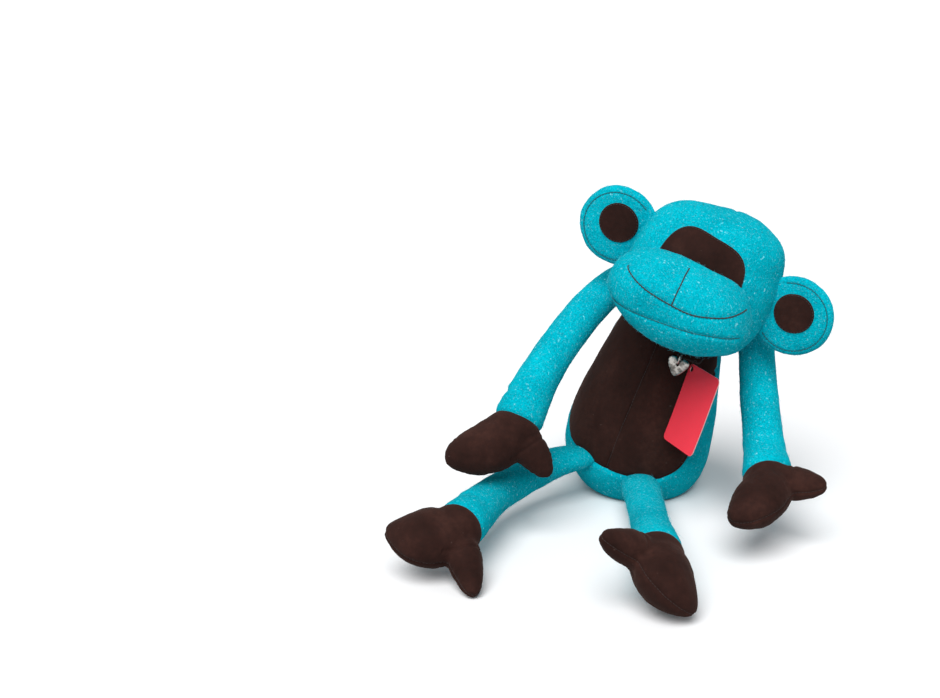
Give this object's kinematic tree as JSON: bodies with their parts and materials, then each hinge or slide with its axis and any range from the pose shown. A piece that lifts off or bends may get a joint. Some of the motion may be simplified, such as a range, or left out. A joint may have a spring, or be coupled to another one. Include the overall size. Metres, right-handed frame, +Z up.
{
  "type": "stuffed monkey",
  "caption": "Seated stuffed monkey of wool felt and suede, with a round muzzle, big ears, jointed limbs, mitt hands and feet, and a hung card and heart charm.",
  "frame": {"origin": "middle of the flat seat, on the floor", "axes": "+Z up, -Y the way the toy faces, +X to the toy's left"},
  "size_m": [0.3489, 0.3469, 0.3131],
  "materials": {
    "turquoise_felt": "fuzzy wool felt",
    "brown_suede": "napped suede",
    "white_fibre": "loose fibre",
    "silver": "polished",
    "dark_thread": "twisted thread",
    "red_card": "coated card"
  },
  "bodies": {
    "torso": {"torso_skin": "turquoise_felt", "torso_filling": "white_fibre", "belly_panel_left": "brown_suede", "belly_panel_right": "brown_suede", "hang_loop": "dark_thread"},
    "neck": {"neck_filling": "white_fibre"},
    "head": {"head_skin": "turquoise_felt", "head_filling": "white_fibre", "muzzle_skin": "turquoise_felt", "muzzle_filling": "white_fibre", "face_patch": "brown_suede"},
    "ear_left": {"ear_front_left": "turquoise_felt", "ear_back_left": "turquoise_felt", "ear_disc_left": "brown_suede"},
    "ear_right": {"ear_front_right": "turquoise_felt", "ear_back_right": "turquoise_felt", "ear_disc_right": "brown_suede"},
    "arm_left": {"arm_skin_left": "turquoise_felt", "arm_filling_left": "white_fibre"},
    "arm_right": {"arm_skin_right": "turquoise_felt", "arm_filling_right": "white_fibre"},
    "hand_left": {"hand_skin_left": "brown_suede", "hand_filling_left": "white_fibre"},
    "hand_right": {"hand_skin_right": "brown_suede", "hand_filling_right": "white_fibre"},
    "leg_left": {"leg_skin_left": "turquoise_felt", "leg_filling_left": "white_fibre"},
    "leg_right": {"leg_skin_right": "turquoise_felt", "leg_filling_right": "white_fibre"},
    "foot_left": {"foot_skin_left": "brown_suede", "foot_filling_left": "white_fibre"},
    "foot_right": {"foot_skin_right": "brown_suede", "foot_filling_right": "white_fibre"},
    "charm": {"charm_ring": "silver", "heart_charm": "silver"},
    "tag": {"tag_string": "dark_thread", "swing_tag": "red_card"}
  },
  "joints": [
    {"name": "head_turn", "type": "hinge", "parent": "torso", "child": "neck", "pos_m": [0.01618, 0, 0.17814], "axis": [-0.2924, 0, -0.9563], "range_deg": [-8, 16]},
    {"name": "head_tilt", "type": "hinge", "parent": "neck", "child": "head", "pos_m": [0.01618, 0, 0.17814], "axis": [-0.0523, 0.9986, 0], "range_deg": [-14, 8]},
    {"name": "ear_fold_left", "type": "hinge", "parent": "head", "child": "ear_left", "pos_m": [0.11925, -0.04242, 0.20983], "axis": [0.4163, -0.0306, 0.9087], "range_deg": [-15, 12]},
    {"name": "ear_fold_right", "type": "hinge", "parent": "head", "child": "ear_right", "pos_m": [-0.00525, -0.04895, 0.26665], "axis": [0.4163, -0.0306, 0.9087], "range_deg": [-12, 15]},
    {"name": "shoulder_left", "type": "hinge", "parent": "torso", "child": "arm_left", "pos_m": [0.06948, 0.016, 0.18695], "axis": [-0.9563, 0, 0.2924], "range_deg": [-10, 12]},
    {"name": "shoulder_right", "type": "hinge", "parent": "torso", "child": "arm_right", "pos_m": [-0.02309, 0.016, 0.21525], "axis": [0.9563, 0, -0.2924], "range_deg": [-10, 0]},
    {"name": "wrist_left", "type": "hinge", "parent": "arm_left", "child": "hand_left", "pos_m": [0.13148, -0.093, 0.05994], "axis": [0.9294, 0.3422, 0.1382], "range_deg": [-15, 40]},
    {"name": "wrist_right", "type": "hinge", "parent": "arm_right", "child": "hand_right", "pos_m": [-0.08909, -0.151, 0.10625], "axis": [0.8639, 0.1164, -0.4901], "range_deg": [-40, 18]},
    {"name": "hip_left", "type": "hinge", "parent": "torso", "child": "leg_left", "pos_m": [-0.00286, -0.05697, 0.02607], "axis": [0, 0, 1], "range_deg": [-18, 5]},
    {"name": "hip_right", "type": "hinge", "parent": "torso", "child": "leg_right", "pos_m": [-0.06348, -0.0521, 0.0446], "axis": [0, 0, 1], "range_deg": [-20, 14]},
    {"name": "ankle_left", "type": "hinge", "parent": "leg_left", "child": "foot_left", "pos_m": [0.07014, -0.23297, 0.03807], "axis": [-0.749, -0.133, 0.6491], "range_deg": [-5, 35]},
    {"name": "ankle_right", "type": "hinge", "parent": "leg_right", "child": "foot_right", "pos_m": [-0.11048, -0.2351, 0.0396], "axis": [-0.8976, 0.1288, 0.4215], "range_deg": [0, 40]},
    {"name": "charm_swing", "type": "hinge", "parent": "torso", "child": "charm", "pos_m": [0.03482, -0.04587, 0.15362], "axis": [-0.9563, 0, 0.2924], "range_deg": [0, 40]},
    {"name": "tag_swing", "type": "hinge", "parent": "torso", "child": "tag", "pos_m": [0.04821, -0.04587, 0.14953], "axis": [-0.9563, 0, 0.2924], "range_deg": [0, 30]}
  ]
}
